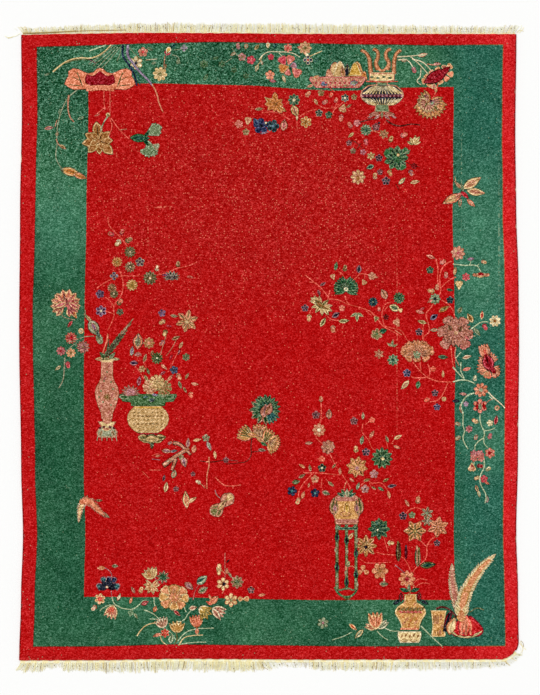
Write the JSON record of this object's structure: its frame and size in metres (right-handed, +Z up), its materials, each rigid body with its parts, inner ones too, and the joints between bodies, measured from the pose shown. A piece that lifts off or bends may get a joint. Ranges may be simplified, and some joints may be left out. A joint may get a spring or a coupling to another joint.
{
  "type": "chinese art deco rug",
  "caption": "Large hand-knotted wool rug with a plain red field, a green band, red guard bands, scattered flower sprays and cotton fringe at both ends, lying flat.",
  "frame": {"origin": "middle of the floor area that the rug and its fringes cover, on the floor", "axes": "+X across the rug to the right as seen from above, +Y along the warps towards the end with the shorter fringe, +Z up out of the pile"},
  "size_m": [2.7606, 3.5564, 0.011],
  "materials": {
    "pile": "worn red wool pile with dark green bands",
    "cord": "overcast wool cord",
    "fringe": "cream cotton warp ends"
  },
  "bodies": {
    "root": {"knotted_cloth": "pile", "side_cord_left": "cord", "side_cord_right": "cord", "fringe_top": "fringe", "fringe_bottom": "fringe"}
  },
  "joints": []
}
